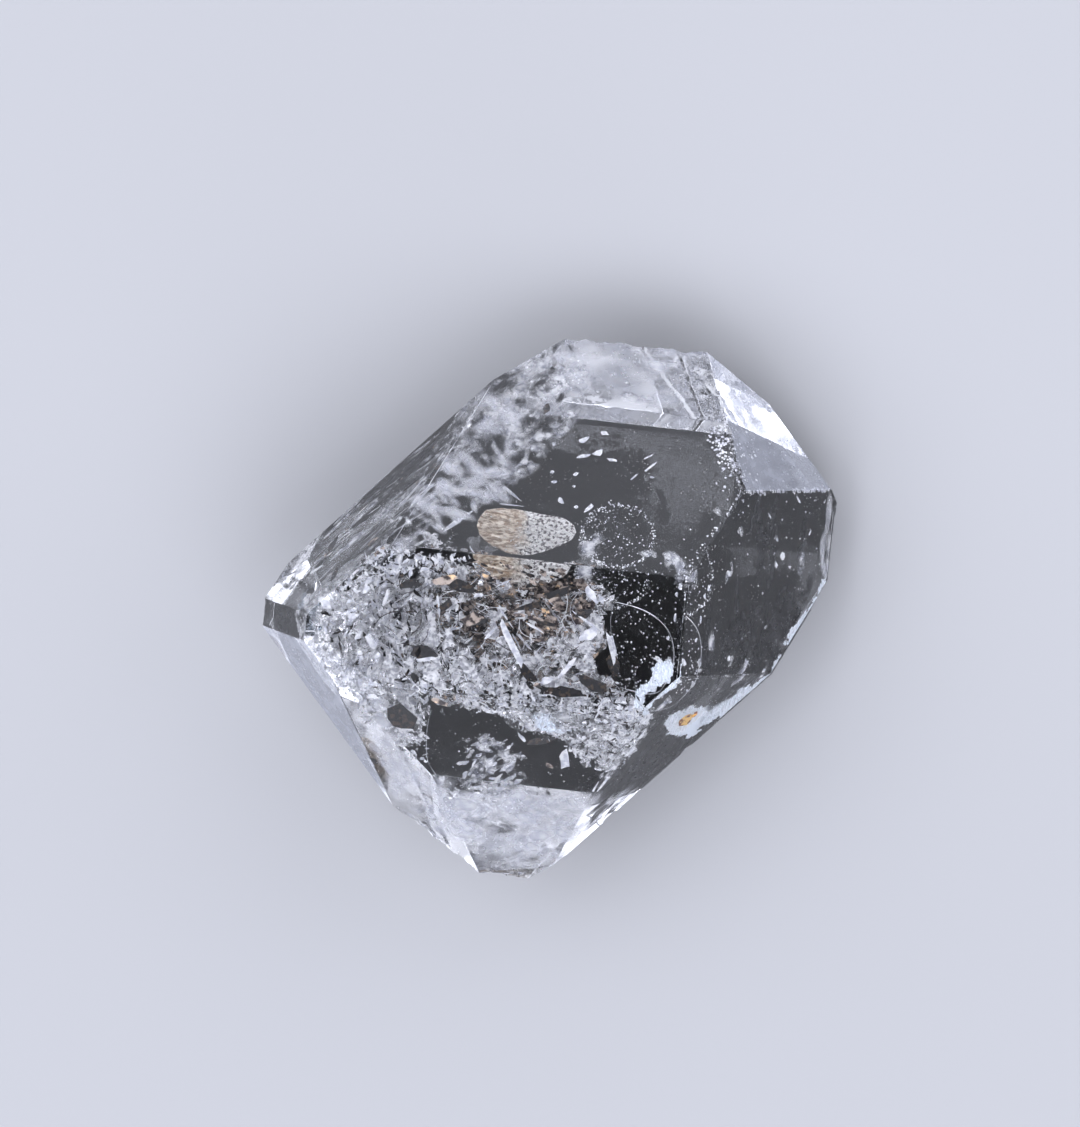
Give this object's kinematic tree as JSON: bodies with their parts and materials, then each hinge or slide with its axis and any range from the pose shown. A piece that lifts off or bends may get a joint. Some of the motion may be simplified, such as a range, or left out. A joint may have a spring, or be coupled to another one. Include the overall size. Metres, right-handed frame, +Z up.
{
  "type": "herkimer diamond",
  "caption": "Clear, doubly terminated quartz crystal with flat prism and end faces, lying on its broadest prism face as a loose mineral specimen.",
  "frame": {"origin": "centre of the crystal's bounding box, on the surface that it rests on", "axes": "+Y along the crystal's long symmetry axis towards the far termination, +Z up from the broad prism face that it lies on, +X to the right as seen from above"},
  "size_m": [0.0192, 0.019, 0.0092],
  "materials": {
    "clear_quartz": "bright natural crystal faces, clear, with conchoidal chips on the edges"
  },
  "bodies": {
    "root": {"crystal": "clear_quartz"}
  },
  "joints": []
}
